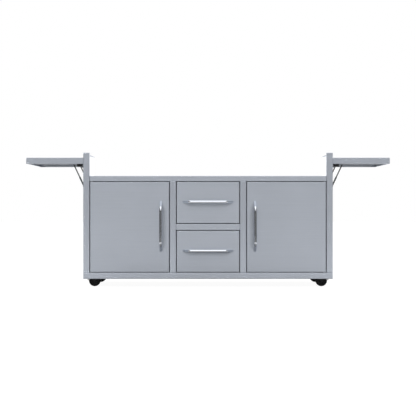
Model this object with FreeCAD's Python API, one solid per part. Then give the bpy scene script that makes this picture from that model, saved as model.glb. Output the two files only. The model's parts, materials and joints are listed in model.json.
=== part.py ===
import FreeCAD, Part
import math
import os

# Grill cart with storage: a stainless cabinet on casters with folding side shelves.
# Origin on the floor under the middle of the cart, handles included.
# +X to the right, +Z up, and the doors and drawers face -Y.

# Cabinet
cart_width = 1600.0
cabinet_depth = 600.0
caster_height = 94.0          # floor to the underside of the floor pan
skirt_drop = 41.0             # how far the skirts hang below the floor pan
opening_height = 586.0
bottom_rail_height = 40.0
top_rail_height = 35.0
wing_height = 149.0           # wings above the deck
post_width = 40.0
stile_width = 40.0
drawer_rail_height = 40.0
drawer_opening_width = 410.0
frame_depth = 25.0
sheet = 1.5                   # cabinet sheet metal
bend = 3.0                    # outside radius of the folds that show
frame_hem = 9.0               # lips along the open back of the frame channels
panel_hem = 12.0              # inward lips of the side panels
pan_flange = 15.0             # folded edges of the floor, deck and partitions

# Vent slots of the back panel and the hose port of the deck
vent_length = 170.0
vent_height = 9.0
vent_pitch = 26.0
vent_rows = 6
vent_top_gap = 70.0           # from the back panel's top edge to the first slot
hose_port_radius = 22.0
hose_port_inset = 80.0        # from the deck's rear edge

# Doors and drawer fronts
reveal = 4.0                  # gap round each door and drawer front
front_thickness = 22.0
skin_sheet = 1.2
skin_hem = 15.0
pivot_inset = 10.0            # pivot axis from the door's hinge edge
pivot_setback = 8.0           # pivot axis behind the door's face
pivot_radius = 4.0
pivot_length = 12.0           # how far a pin reaches into the door
sleeve_wall = 2.4
sleeve_extra = 2.0            # sleeve beyond the end of its pin
washer_radius = 7.0
liner_inset = 8.0
liner_margin = 17.0           # flat border round the liner's pressed field
liner_press = 10.0            # depth of the pressed field
press_slope = 6.0
catch_width = 40.0
catch_depth = 22.0
catch_height = 20.0
catch_inset = 50.0            # catch centre from the door's free edge
catch_tab = 3.0

# Handles
handle_radius = 10.0
handle_spacing = 303.0        # between the two feet
handle_straight = 228.0       # between the two shoulders
handle_reach = 50.0           # tube axis in front of the door
handle_bend = 25.0
handle_inset = 53.0           # door handle from the door's free edge
handle_rise = 4.5             # handle centre above the panel's centre

# Drawers
slide_width = 13.0
slide_length = 480.0
slide_height = 45.0
slide_sheet = 1.4
slide_setback = 5.0           # slide's front end behind the frame
drawer_box_depth = 500.0
drawer_box_height = 200.0
drawer_box_lift = 25.0        # box above the drawer front's lower edge

# Folding shelves
shelf_length = 367.0
shelf_setback = 20.0          # shelf's edges from the cabinet's front and back planes
shelf_lip = 40.0
shelf_drop = 31.0             # shelf top below the top of the wings
shelf_gap = 2.0
shelf_sheet = 1.2
shelf_hem = 10.0
bracket_inset = 88.0          # bracket from the shelf's front or back edge

# Folding brackets
hinge_out = 12.0              # hinge axis from the side panel
hinge_drop = 5.0              # hinge axis below the shelf's lip
hinge_pin_radius = 3.0
pin_stub = 1.0                # bracket pins beyond the sheets they join
brace_drop = 137.0            # strut pivot below the hinge axis
brace_out = 7.0               # strut pivot from the side panel
slot_rise = 13.0              # slot line above the hinge axis
slot_start = 66.0             # strut pin from the hinge axis when the shelf is up
slot_extra = 4.0              # slot beyond the strut pin's travel
slot_height = 7.0
arm_sheet = 2.0
arm_inside = 14.0
arm_edge = 3.0                # arm's lower edge above the hinge axis
arm_head_drop = 9.0           # how far the head hangs below the hinge axis
arm_head_length = 40.0
arm_tip = 22.0                # arm beyond the end of the slot
wall_inside = 9.0
wall_sheet = 2.0
wall_ear_radius = 6.5
strut_thickness = 8.0
strut_width = 10.0            # lower part
strut_bar_width = 7.0         # upper part
strut_bar_thickness = 5.0
strut_step = 0.38             # part of the strut that is wide
strut_end_radius = 4.5
bracket_screw_radius = 4.0
bracket_screw_head = 1.6
bracket_screw_places = (0.25, 0.6)   # along the wall bracket, from strut pivot to hinge

# Casters
wheel_radius = 37.5
wheel_width = 24.0
tyre_thickness = 8.5
tyre_shoulder = 4.0
caster_trail = 28.0
caster_inset_x = 92.0         # swivel axis from the side
caster_inset_y = 100.0        # swivel axis from the front and back
plate_size = 76.0
plate_thickness = 3.0
plate_bolt_spacing = 56.0
plate_bolt_radius = 3.5
bolt_head_radius = 7.0        # over the corners of the hexagon
bolt_head_height = 5.5
race_radius = 25.0
race_height = 3.0
fork_sheet = 2.5
fork_gap = 2.0                # between wheel and fork leg
crown_clearance = 4.0         # crown above the tyre
axle_radius = 4.0
axle_head_radius = 6.5
hub_boss_radius = 9.0
hub_rim_wall = 4.0
hub_rim_setback = 2.0         # hub's rim behind the tyre's side
hub_web = 8.0
kingpin_radius = 5.0
kingpin_head = 3.0
crown_nose = 17.5             # crown plate's front edge from the swivel axis
pedal_gap = 4.5               # pedal plate outside the tyre
pedal_thickness = 3.0
pedal_start = 130.0           # pedal's pivot, degrees round the wheel from its inner side
pedal_end = 166.0
pedal_toe = 9.0               # straight toe past the pedal's curve
pedal_pin_radius = 2.5
pedal_knuckle_wall = 2.0

# Fits
running = 0.05                # radial clearance of a pin that turns in its hole
seat = 0.3                    # gap between a moving piece and what carries it
slide_play = 0.5              # between the nested members of a slide

# Planes that follow from the sizes
handle_proud = handle_reach + handle_radius
front = (handle_proud - cabinet_depth) / 2
back = front + cabinet_depth
half = cart_width / 2
base = caster_height - skirt_drop
opening_low = base + bottom_rail_height
opening_high = opening_low + opening_height
deck = opening_high + top_rail_height
wing_top = deck + wing_height
frame_back = front + frame_depth
floor_top = caster_height + sheet
drawer_half = drawer_opening_width / 2
stile_outer = drawer_half + stile_width
drawer_opening_height = (opening_height - drawer_rail_height) / 2
front_back = front + front_thickness
door_free = stile_outer + reveal
door_hinge = half - post_width - reveal
door_low = opening_low + reveal
door_high = opening_high - reveal
pivot_x = door_hinge - pivot_inset
pivot_y = front + pivot_setback
shelf_top = wing_top - shelf_drop
shelf_bottom = shelf_top - shelf_lip
shelf_front, shelf_back = front + shelf_setback, back - shelf_setback
hinge_z = shelf_bottom - hinge_drop
brace_z = hinge_z - brace_drop
bracket_places = {"front": shelf_front + bracket_inset, "rear": shelf_back - bracket_inset}


def vec(x, y, z):
    return FreeCAD.Vector(x, y, z)


def box(x0, x1, y0, y1, z0, z1):
    return Part.makeBox(x1 - x0, y1 - y0, z1 - z0, vec(x0, y0, z0))


def rod(start, end, radius):
    axis = end - start
    return Part.makeCylinder(radius, axis.Length, start, axis)


def mirrored(shape):
    # The same piece on the other side of the cart
    return shape.mirror(vec(0, 0, 0), vec(1, 0, 0))


def fused(shapes):
    return shapes[0].fuse(shapes[1:]).removeSplitter()


def round_face(shape, axis, place, radius):
    # Rounds the edges round the face that lies at this place on this axis
    edges = [e for e in shape.Edges
             if all(abs(v.Point[axis] - place) < 1e-6 for v in e.Vertexes)]
    return shape.makeFillet(radius, edges)


def pan(bounds, wall, open_side, radius=0.0, hem=0.0):
    # Folded sheet with one open side; a hem turns its edges inward there
    axis = "xyz".index(open_side[1])
    opens_up = open_side[0] == "+"
    low = list(bounds[0::2])
    high = list(bounds[1::2])
    inner_low = [v + wall for v in low]
    inner_high = [v - wall for v in high]
    lip = max(hem, wall)
    mouth_low = [v + lip for v in low]
    mouth_high = [v - lip for v in high]
    if opens_up:
        closed, inner_closed = low[axis], inner_low[axis]
        mouth_low[axis], mouth_high[axis] = inner_low[axis], high[axis] + wall
        inner_high[axis] = high[axis] - (wall if hem else -wall)
    else:
        closed, inner_closed = high[axis], inner_high[axis]
        mouth_low[axis], mouth_high[axis] = low[axis] - wall, inner_high[axis]
        inner_low[axis] = low[axis] + (wall if hem else -wall)
    outer = box(low[0], high[0], low[1], high[1], low[2], high[2])
    inner = box(inner_low[0], inner_high[0], inner_low[1], inner_high[1], inner_low[2], inner_high[2])
    if radius > wall:
        outer = round_face(outer, axis, closed, radius)
        inner = round_face(inner, axis, inner_closed, radius - wall)
    result = outer.cut(inner)
    if hem:
        result = result.cut(box(mouth_low[0], mouth_high[0], mouth_low[1], mouth_high[1],
                                mouth_low[2], mouth_high[2]))
    return result


def polygon_xz(points, y0, y1):
    # Flat outline in the XZ plane, given thickness along Y
    corners = [vec(x, y0, z) for x, z in points]
    face = Part.Face(Part.makePolygon(corners + corners[:1]))
    return face.extrude(vec(0, y1 - y0, 0))


def link_xz(start, start_radius, end, end_radius, y0, y1):
    # Bar with two round ends and straight tangent sides
    dx, dz = end[0] - start[0], end[1] - start[1]
    heading = math.atan2(dz, dx)
    spread = math.acos((start_radius - end_radius) / math.hypot(dx, dz))

    def rim(centre, radius, angle):
        return vec(centre[0] + radius * math.cos(angle), y0, centre[1] + radius * math.sin(angle))

    upper, lower = heading + spread, heading - spread
    a, b = rim(start, start_radius, upper), rim(end, end_radius, upper)
    c, d = rim(end, end_radius, lower), rim(start, start_radius, lower)
    outline = Part.Wire([Part.LineSegment(a, b).toShape(),
                         Part.Arc(b, rim(end, end_radius, heading), c).toShape(),
                         Part.LineSegment(c, d).toShape(),
                         Part.Arc(d, rim(start, start_radius, heading + math.pi), a).toShape()])
    return Part.Face(outline).extrude(vec(0, y1 - y0, 0))


def slot_xz(x0, x1, z, height, y0, y1):
    # Cutter for a level slot with round ends
    radius = height / 2
    return link_xz((x0 + radius, z), radius, (x1 - radius, z), radius, y0, y1)


def frame_channel(x0, x1, z0, z1):
    # Member of the face frame: a channel open at the back, with lips
    return pan((x0, x1, front, frame_back, z0, z1), sheet, "+y", bend, frame_hem)


def left_side_panel():
    # Lips along the bottom, the top and, as high as the deck, the back
    shell = pan((-half, -half + panel_hem, frame_back - sheet, back, base, wing_top), sheet, "+x")
    bare_edge = box(-half + sheet, 0, back - sheet, back, deck, wing_top - sheet)
    return shell.common(box(-half, 0, frame_back, back, base, wing_top)).cut(bare_edge)


def left_partition():
    shell = pan((-drawer_half - pan_flange, -drawer_half, frame_back, back - sheet,
                 floor_top, deck - sheet), sheet, "-x")
    notch_low = deck - pan_flange
    front_notch = box(-half, 0, frame_back, frame_back + sheet, notch_low, deck)
    rear_notch = box(-half, 0, back - 2 * sheet, back - sheet, notch_low, deck)
    return shell.cut(front_notch).cut(rear_notch)


def floor_pan():
    floor = pan((-half + sheet, half - sheet, frame_back, back - sheet,
                 floor_top - pan_flange, floor_top), sheet, "-z")
    for x, y in caster_places().values():
        for bolt_x, bolt_y in plate_bolts(x, y):
            floor = floor.cut(rod(vec(bolt_x, bolt_y, base), vec(bolt_x, bolt_y, deck), plate_bolt_radius))
    return floor


def back_panel():
    width = half - panel_hem
    panel = box(-width, width, back - sheet, back, base, deck)
    compartment = (half + stile_outer) / 2
    for row in range(vent_rows):
        z = deck - vent_top_gap - row * vent_pitch
        for side in (-1, 1):
            centre = side * compartment
            panel = panel.cut(slot_xz(centre - vent_length / 2, centre + vent_length / 2, z,
                                      vent_height, back - 2 * sheet, back + sheet))
    return panel


def top_deck():
    plate = pan((-half + sheet, half - sheet, frame_back, back - sheet, deck - pan_flange, deck), sheet, "-z")
    port_y = back - hose_port_inset
    return plate.cut(rod(vec(0, port_y, deck - pan_flange), vec(0, port_y, deck + sheet), hose_port_radius))


def door_pivot(z_frame, towards_door):
    # Fixed pin with the washer that keeps the door off the frame
    x, y = -pivot_x, pivot_y
    washer = rod(vec(x, y, z_frame), vec(x, y, z_frame + towards_door * (reveal - seat)), washer_radius)
    pin = rod(vec(x, y, z_frame), vec(x, y, z_frame + towards_door * (reveal + pivot_length)), pivot_radius)
    return fused([washer, pin])


def door_pivot_pins():
    left = [door_pivot(opening_low, 1), door_pivot(opening_high, -1)]
    return Part.makeCompound(left + [mirrored(pin) for pin in left])


def left_door_skin():
    skin = pan((-door_hinge, -door_free, front, front_back, door_low, door_high),
               skin_sheet, "+y", bend, skin_hem)
    for z_edge, inward in ((door_low, 1), (door_high, -1)):
        start = vec(-pivot_x, pivot_y, z_edge)
        end = vec(-pivot_x, pivot_y, z_edge + inward * (pivot_length + sleeve_extra))
        skin = skin.fuse(rod(start, end, pivot_radius + running + sleeve_wall))
        skin = skin.cut(rod(start, end, pivot_radius + running))
    return skin.removeSplitter()


def pressed_field(x0, x1, z0, z1, y_wide, y_deep):
    # Tapered block that presses a field into a sheet
    def ring(y, inset):
        return Part.makePolygon([vec(x0 + inset, y, z0 + inset), vec(x1 - inset, y, z0 + inset),
                                 vec(x1 - inset, y, z1 - inset), vec(x0 + inset, y, z1 - inset),
                                 vec(x0 + inset, y, z0 + inset)])
    return Part.makeLoft([ring(y_wide, 0), ring(y_deep, press_slope)], True, True)


def left_door_liner():
    x0, x1 = -door_hinge + liner_inset, -door_free - liner_inset
    z0, z1 = door_low + liner_inset, door_high - liner_inset
    rear = front_back + skin_sheet
    plate = box(x0, x1, front_back, rear, z0, z1)
    m = liner_margin
    outer = pressed_field(x0 + m, x1 - m, z0 + m, z1 - m, rear, rear - liner_press)
    m = liner_margin + skin_sheet
    inner = pressed_field(x0 + m, x1 - m, z0 + m, z1 - m, rear, rear - liner_press + skin_sheet)
    return plate.fuse(outer).cut(inner).removeSplitter()


def left_door_catch():
    # Magnetic catch that hangs from the deck's front flange, just behind the liner
    x = -door_free - catch_inset
    x0, x1 = x - catch_width / 2, x + catch_width / 2
    y0 = front_back + skin_sheet + seat
    top = door_high - liner_inset
    flange = frame_back + sheet
    body = box(x0, x1, y0, y0 + catch_depth, top - catch_height, top)
    tab = box(x0, x1, flange, flange + catch_tab, top, deck - sheet)
    return body.fuse(tab).removeSplitter()


def bow_handle():
    # Tube along X round x = 0, z = 0, with its feet on the plane y = front
    foot, shoulder = handle_spacing / 2, handle_straight / 2
    slope = vec(shoulder - foot, -handle_reach, 0).normalize()
    turn = math.atan2(handle_reach, foot - shoulder)
    setback = handle_bend * math.tan(turn / 2)
    buried = 2 * handle_radius

    def side(sign):
        def flip(point):
            return vec(sign * point.x, point.y + front, 0)
        knee = vec(shoulder, -handle_reach, 0)
        middle = knee + vec(-1, 0, 0) * setback
        along = knee - slope * setback
        inward = (slope * -1 + vec(-1, 0, 0)).normalize()
        arc_mid = knee + inward * handle_bend * (1 / math.cos(turn / 2) - 1)
        start = vec(foot, 0, 0) - slope * buried
        return flip(start), flip(along), flip(arc_mid), flip(middle)

    start, along, arc_mid, middle = side(1)
    start2, along2, arc_mid2, middle2 = side(-1)
    path = Part.Wire([Part.LineSegment(start, along).toShape(),
                      Part.Arc(along, arc_mid, middle).toShape(),
                      Part.LineSegment(middle, middle2).toShape(),
                      Part.Arc(middle2, arc_mid2, along2).toShape(),
                      Part.LineSegment(along2, start2).toShape()])
    circle = Part.Wire(Part.makeCircle(handle_radius, start, along - start))
    tube = path.makePipeShell([circle], True, False)
    reach = handle_spacing
    return tube.common(box(-reach, reach, front - 2 * handle_proud, front, -reach, reach))


def left_door_handle():
    handle = bow_handle()
    handle.rotate(vec(0, 0, 0), vec(0, 1, 0), 90)
    handle.translate(vec(-door_free - handle_inset, 0, (door_low + door_high) / 2 + handle_rise))
    return handle


def drawer_lows():
    # Lower edge of each drawer front
    lower = opening_low + reveal
    return {"lower": lower, "upper": lower + drawer_opening_height + drawer_rail_height}


def drawer_front(low):
    width = drawer_half - reveal
    high = low + drawer_opening_height - 2 * reveal
    return pan((-width, width, front, front_back, low, high), skin_sheet, "+y", bend, skin_hem)


def drawer_box(low):
    width = drawer_half - slide_width
    floor = low + drawer_box_lift
    return pan((-width, width, front_back, front_back + drawer_box_depth, floor, floor + drawer_box_height),
               skin_sheet, "+z")


def drawer_handle(low):
    handle = bow_handle()
    centre = low + drawer_opening_height / 2 - reveal + handle_rise
    handle.translate(vec(0, 0, centre))
    return handle


def slide_member(low, web_out, wing_out, half_height):
    # Channel of a telescopic slide, its two places given from the partition inward
    centre = low + drawer_box_lift + drawer_box_height / 2
    y0 = frame_back + slide_setback
    x_web, x_wing = -drawer_half + web_out, -drawer_half + wing_out
    x0, x1 = min(x_web, x_wing), max(x_web, x_wing)
    outer = box(x0, x1, y0, y0 + slide_length, centre - half_height, centre + half_height)
    if x_web < x_wing:
        inner_x = (x0 + slide_sheet, x1)
    else:
        inner_x = (x0, x1 - slide_sheet)
    inner_half = half_height - slide_sheet
    inner = box(inner_x[0], inner_x[1], y0, y0 + slide_length, centre - inner_half, centre + inner_half)
    left = outer.cut(inner)
    return [left, mirrored(left)]


def slide_outers(low):
    return slide_member(low, 0, slide_width - 2 * slide_sheet, slide_height / 2)


def slide_middles(low):
    web = 3 * slide_sheet
    return slide_member(low, web, slide_width - 2 * slide_sheet, slide_height / 2 - slide_sheet - slide_play)


def slide_inners(low):
    wing = 5 * slide_sheet
    return slide_member(low, slide_width, wing, slide_height / 2 - 2 * (slide_sheet + slide_play))


def left_shelf_tray():
    inner_edge = -half - shelf_gap
    bounds = (inner_edge - shelf_length, inner_edge, shelf_front, shelf_back, shelf_bottom, shelf_top)
    tray = pan(bounds, shelf_sheet, "-z", bend, shelf_hem)
    # No hem along the cart's side, where the arms swing round the hinges
    clear = box(inner_edge - shelf_hem, inner_edge - shelf_sheet,
                shelf_front + shelf_sheet, shelf_back - shelf_sheet,
                shelf_bottom - shelf_sheet, shelf_bottom + shelf_sheet)
    return tray.cut(clear)


def out(x):
    # Distance from the left side panel, measured outward
    return -half - x


def strut_pin_travel():
    # Where the strut's pin is along the arm when the shelf hangs down
    across = hinge_out + slot_rise - brace_out
    return brace_drop + math.sqrt(strut_length() ** 2 - across ** 2)


def strut_length():
    return math.hypot(hinge_out + slot_start - brace_out, brace_drop + slot_rise)


def left_shelf_arm(y):
    # Channel under the tray, open downward, with a head that hangs on the hinge pin
    half_inside = arm_inside / 2
    half_outside = half_inside + arm_sheet
    tip = out(hinge_out + strut_pin_travel() + arm_tip)
    top = shelf_top - shelf_sheet
    head_low = hinge_z - arm_head_drop
    edge = hinge_z + arm_edge
    heel = out(hinge_out - arm_head_drop)
    head_end = out(hinge_out + arm_head_length)
    ramp_end = head_end - 2 * arm_head_drop
    tip_rise = (top - edge) / 2
    side = polygon_xz([(heel, hinge_z), (out(hinge_out), head_low), (head_end, head_low), (ramp_end, edge),
                       (tip + tip_rise, edge), (tip, edge + tip_rise), (tip, top), (heel, top)],
                      y - half_outside, y + half_outside)
    side = side.fuse(rod(vec(out(hinge_out), y - half_outside, hinge_z),
                         vec(out(hinge_out), y + half_outside, hinge_z), arm_head_drop))
    gutter = box(tip - arm_sheet, heel + arm_sheet, y - half_inside, y + half_inside,
                 head_low - arm_sheet, top - arm_sheet)
    slot = slot_xz(out(hinge_out + strut_pin_travel() + slot_extra + slot_height / 2),
                   out(hinge_out + slot_start - slot_height / 2 - slot_extra), hinge_z + slot_rise,
                   slot_height, y - half_outside - 1, y + half_outside + 1)
    hinge_hole = rod(vec(out(hinge_out), y - half_outside - 1, hinge_z),
                     vec(out(hinge_out), y + half_outside + 1, hinge_z), hinge_pin_radius + running)
    lip_room = box(out(shelf_gap + max(bend, shelf_sheet)), out(0), y - half_outside, y + half_outside,
                   shelf_bottom, shelf_top)
    return side.cut(gutter).cut(slot).cut(hinge_hole).cut(lip_room).removeSplitter()


def left_wall_bracket(y):
    # Channel screwed to the side panel, its two ears holding both pins
    half_inside = wall_inside / 2
    half_outside = half_inside + wall_sheet
    foot = brace_z - 2 * wall_ear_radius
    head = shelf_bottom - seat
    hinge_ear = link_xz((out(hinge_out), hinge_z), wall_ear_radius,
                        (out(wall_ear_radius), hinge_z - hinge_drop - wall_ear_radius), wall_ear_radius,
                        y - half_outside, y + half_outside)
    spine = polygon_xz([(out(0), foot), (out(brace_out), foot), (out(brace_out), hinge_z - arm_head_length),
                        (out(hinge_out), hinge_z - arm_head_drop), (out(hinge_out), hinge_z), (out(0), head)],
                       y - half_outside, y + half_outside)
    brace_ear = rod(vec(out(brace_out), y - half_outside, brace_z),
                    vec(out(brace_out), y + half_outside, brace_z), wall_ear_radius)
    gutter = box(out(2 * hinge_out), out(wall_sheet), y - half_inside, y + half_inside, foot, shelf_top)
    bracket = spine.fuse([hinge_ear, brace_ear]).cut(gutter)
    for x, z in ((hinge_out, hinge_z), (brace_out, brace_z)):
        bracket = bracket.cut(rod(vec(out(x), y - half_outside, z), vec(out(x), y + half_outside, z),
                                  hinge_pin_radius))
    wall_side = box(out(2 * hinge_out), out(0), y - half_outside, y + half_outside, foot, shelf_top)
    return bracket.common(wall_side).removeSplitter()


def left_bracket_pins(y):
    hinge_reach = arm_inside / 2 + arm_sheet + pin_stub
    brace_reach = wall_inside / 2 + wall_sheet + pin_stub
    pins = []
    for x, z, reach in ((hinge_out, hinge_z, hinge_reach), (brace_out, brace_z, brace_reach)):
        pins.append(rod(vec(out(x), y - reach, z), vec(out(x), y + reach, z), hinge_pin_radius))
    return pins


def left_bracket_screws(y):
    # Pan heads on the wall bracket's web, between its ears
    screws = []
    for share in bracket_screw_places:
        start = vec(out(wall_sheet), y, brace_z + brace_drop * share)
        screws.append(rod(start, start + vec(-bracket_screw_head, 0, 0), bracket_screw_radius))
    return screws


def left_strut(y):
    # Brace: a wide lower channel part, a slim upper bar and the pin that rides in the slot
    start = (out(brace_out), brace_z)
    end = (out(hinge_out + slot_start), hinge_z + slot_rise)
    step = (start[0] + (end[0] - start[0]) * strut_step, start[1] + (end[1] - start[1]) * strut_step)
    thick, thin = strut_thickness / 2, strut_bar_thickness / 2
    lower = link_xz(start, strut_end_radius, step, strut_width / 2, y - thick, y + thick)
    upper = link_xz(step, strut_bar_width / 2, end, strut_bar_width / 2, y - thin, y + thin)
    pin_reach = arm_inside / 2 - slide_play
    pin = rod(vec(end[0], y - pin_reach, end[1]), vec(end[0], y + pin_reach, end[1]), hinge_pin_radius)
    hole = rod(vec(start[0], y - thick, start[1]), vec(start[0], y + thick, start[1]),
               hinge_pin_radius + running)
    return fused([lower, upper, pin]).cut(hole)


def both_brackets(maker):
    # Pieces of the front and the rear bracket of the left shelf
    pieces = []
    for y in bracket_places.values():
        made = maker(y)
        pieces.extend(made if isinstance(made, list) else [made])
    return pieces


def caster_places():
    x = half - caster_inset_x
    front_y, rear_y = front + caster_inset_y, back - caster_inset_y
    return {"front_left": (-x, front_y), "front_right": (x, front_y),
            "rear_left": (-x, rear_y), "rear_right": (x, rear_y)}


def plate_bolts(x, y):
    reach = plate_bolt_spacing / 2
    return [(x + i * reach, y + j * reach) for i in (-1, 1) for j in (-1, 1)]


def crown_low():
    return 2 * wheel_radius + crown_clearance


def caster_plate(x, y):
    # Top plate with its swivel race, and the kingpin that hangs from it
    reach = plate_size / 2
    plate_low = caster_height - plate_thickness
    race_low = crown_low() + fork_sheet + race_height + seat
    plate = box(x - reach, x + reach, y - reach, y + reach, plate_low, caster_height)
    race = rod(vec(x, y, race_low), vec(x, y, plate_low), race_radius)
    head_top = crown_low() - seat
    kingpin = rod(vec(x, y, head_top), vec(x, y, race_low), kingpin_radius)
    head = rod(vec(x, y, head_top - kingpin_head), vec(x, y, head_top), kingpin_radius + kingpin_head)
    for bolt_x, bolt_y in plate_bolts(x, y):
        plate = plate.cut(rod(vec(bolt_x, bolt_y, plate_low), vec(bolt_x, bolt_y, caster_height),
                              plate_bolt_radius))
    return [fused([plate, race]), fused([kingpin, head])]


def caster_bolt(x, y):
    # Hexagon head under the plate, shank through the plate and floor, nut on the floor
    radius = bolt_head_radius
    height = bolt_head_height

    def hexagon(z0, z1):
        corners = [vec(x + radius * math.cos(math.radians(60 * k)),
                       y + radius * math.sin(math.radians(60 * k)), z0) for k in range(6)]
        return Part.Face(Part.makePolygon(corners + corners[:1])).extrude(vec(0, 0, z1 - z0))

    plate_low = caster_height - plate_thickness
    shank = rod(vec(x, y, plate_low), vec(x, y, floor_top), plate_bolt_radius)
    return shank.fuse([hexagon(plate_low - height, plate_low), hexagon(floor_top, floor_top + height)])


def caster_fork(braked):
    # Swivel fork round x = 0, y = 0, its wheel trailing towards -X
    low = crown_low()
    top = low + fork_sheet
    leg_inner = wheel_width / 2 + fork_gap
    leg_outer = leg_inner + fork_sheet
    axle = (-caster_trail, wheel_radius)
    nose, tail = crown_nose, -race_radius
    crown = box(tail, nose, -leg_outer, leg_outer, low, top)
    disc = rod(vec(0, 0, low), vec(0, 0, top), race_radius)
    race = Part.makeCone(race_radius - race_height, race_radius, race_height, vec(0, 0, top), vec(0, 0, 1))
    pieces = [crown, disc, race]
    for side in (-1, 1):
        y0, y1 = sorted((side * leg_inner, side * leg_outer))
        pieces.append(polygon_xz([(tail, top), (axle[0] - hub_boss_radius, axle[1]),
                                  (axle[0] + hub_boss_radius, axle[1]), (nose, low), (nose, top)], y0, y1))
        pieces.append(rod(vec(axle[0], y0, axle[1]), vec(axle[0], y1, axle[1]), hub_boss_radius))
        if braked:
            pieces.append(link_xz(pedal_pivot(), pedal_knuckle(), (tail + fork_sheet, low - pedal_knuckle()),
                                  2 * pedal_knuckle(), y0, y1))
    fork = fused(pieces)
    fork = fork.cut(rod(vec(0, 0, low), vec(0, 0, top + race_height), kingpin_radius + running))
    fork = fork.cut(rod(vec(axle[0], -leg_outer, axle[1]), vec(axle[0], leg_outer, axle[1]), axle_radius))
    if braked:
        x, z = pedal_pivot()
        fork = fork.cut(rod(vec(x, -leg_outer, z), vec(x, leg_outer, z), pedal_pin_radius))
    fork = fork.common(box(-2 * caster_trail - wheel_radius, race_radius, -race_radius, race_radius,
                           0, top + race_height))
    return [fork] + caster_pins(braked, leg_outer)


def caster_pins(braked, leg_outer):
    # Axle with its two heads, and the brake pedal's pin
    x, z = -caster_trail, wheel_radius
    head = fork_sheet
    axle = fused([rod(vec(x, -leg_outer, z), vec(x, leg_outer, z), axle_radius),
                  rod(vec(x, -leg_outer - head, z), vec(x, -leg_outer, z), axle_head_radius),
                  rod(vec(x, leg_outer, z), vec(x, leg_outer + head, z), axle_head_radius)])
    if not braked:
        return [axle]
    x, z = pedal_pivot()
    return [axle, rod(vec(x, -leg_outer, z), vec(x, leg_outer, z), pedal_pin_radius)]


def pedal_knuckle():
    return pedal_pin_radius + pedal_knuckle_wall


def pedal_pivot():
    reach = wheel_radius + pedal_gap + pedal_thickness / 2
    angle = math.radians(pedal_start)
    return (-caster_trail + reach * math.cos(angle), wheel_radius + reach * math.sin(angle))


def brake_pedal():
    # Curved plate over the tyre's outer side, with a straight toe and a knuckle on its pin
    inner = wheel_radius + pedal_gap
    outer = inner + pedal_thickness
    y_half = wheel_width / 2 + fork_gap - seat
    centre = vec(-caster_trail, -y_half, wheel_radius)
    ring = Part.makeCylinder(outer, 2 * y_half, centre, vec(0, 1, 0))
    ring = ring.cut(Part.makeCylinder(inner, 2 * y_half, centre, vec(0, 1, 0)))
    far = 2 * outer
    start, end = math.radians(pedal_start), math.radians(pedal_end)
    wedge = polygon_xz([(centre.x, centre.z),
                        (centre.x + far * math.cos(start), centre.z + far * math.sin(start)),
                        (centre.x + far * math.cos(end), centre.z + far * math.sin(end))], -y_half, y_half)
    middle = inner + pedal_thickness / 2
    heel = (centre.x + middle * math.cos(end), centre.z + middle * math.sin(end))
    tip = (heel[0] - pedal_toe * math.sin(end), heel[1] + pedal_toe * math.cos(end))
    toe = link_xz(heel, pedal_thickness / 2, tip, pedal_thickness / 2, -y_half, y_half)
    x, z = pedal_pivot()
    knuckle = rod(vec(x, -y_half, z), vec(x, y_half, z), pedal_knuckle())
    hole = rod(vec(x, -y_half, z), vec(x, y_half, z), pedal_pin_radius + running)
    return fused([ring.common(wedge), toe, knuckle]).cut(hole)


def revolved(points):
    # Solid of revolution round the wheel's axle, points given as (radius, along Y)
    corners = [vec(-caster_trail + r, y, wheel_radius) for r, y in points]
    face = Part.Face(Part.makePolygon(corners + corners[:1]))
    return face.revolve(vec(-caster_trail, 0, wheel_radius), vec(0, 1, 0), 360)


def caster_tyre():
    inner, width = wheel_radius - tyre_thickness, wheel_width / 2
    ring = revolved([(inner, -width), (wheel_radius, -width), (wheel_radius, width), (inner, width)])
    rims = [e for e in ring.Edges
            if len(e.Vertexes) == 1 and abs(e.Curve.Radius - wheel_radius) < 1e-6]
    return ring.makeFillet(tyre_shoulder, rims)


def caster_hub():
    # Bore, boss, thin web and rim
    rim = wheel_radius - tyre_thickness
    bore = axle_radius + running
    boss_half = wheel_width / 2 + fork_gap - seat
    rim_half, web_half = wheel_width / 2 - hub_rim_setback, hub_web / 2
    rim_inner = rim - hub_rim_wall
    return revolved([(bore, -boss_half), (hub_boss_radius, -boss_half), (hub_boss_radius, -web_half),
                     (rim_inner, -web_half), (rim_inner, -rim_half), (rim, -rim_half), (rim, rim_half),
                     (rim_inner, rim_half), (rim_inner, web_half), (hub_boss_radius, web_half),
                     (hub_boss_radius, boss_half), (bore, boss_half)])


def place_caster(shape, place):
    x, y = place
    piece = mirrored(shape) if x > 0 else shape.copy()
    piece.translate(vec(x, y, 0))
    return piece


def add_pair(parts, name, left):
    # A left piece and its mirror image on the right
    parts["left_" + name] = left
    parts["right_" + name] = mirrored(left)


def add_cabinet(parts):
    add_pair(parts, "front_post", frame_channel(-half, -half + post_width, opening_low, wing_top))
    add_pair(parts, "divider_stile", frame_channel(-stile_outer, -drawer_half, opening_low, opening_high))
    parts["bottom_front_rail"] = frame_channel(-half, half, base, opening_low)
    parts["top_front_rail"] = frame_channel(-half + post_width, half - post_width, opening_high, deck)
    rail_low = opening_low + drawer_opening_height
    parts["drawer_rail"] = frame_channel(-drawer_half, drawer_half, rail_low, rail_low + drawer_rail_height)
    add_pair(parts, "side_panel", left_side_panel())
    add_pair(parts, "partition", left_partition())
    parts["floor_pan"] = floor_pan()
    parts["back_panel"] = back_panel()
    parts["top_deck"] = top_deck()


def add_doors(parts):
    parts["door_pivot_pins"] = door_pivot_pins()
    catch = left_door_catch()
    parts["door_catches"] = Part.makeCompound([catch, mirrored(catch)])
    add_pair(parts, "door_skin", left_door_skin())
    add_pair(parts, "door_liner", left_door_liner())
    add_pair(parts, "door_handle", left_door_handle())


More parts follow.
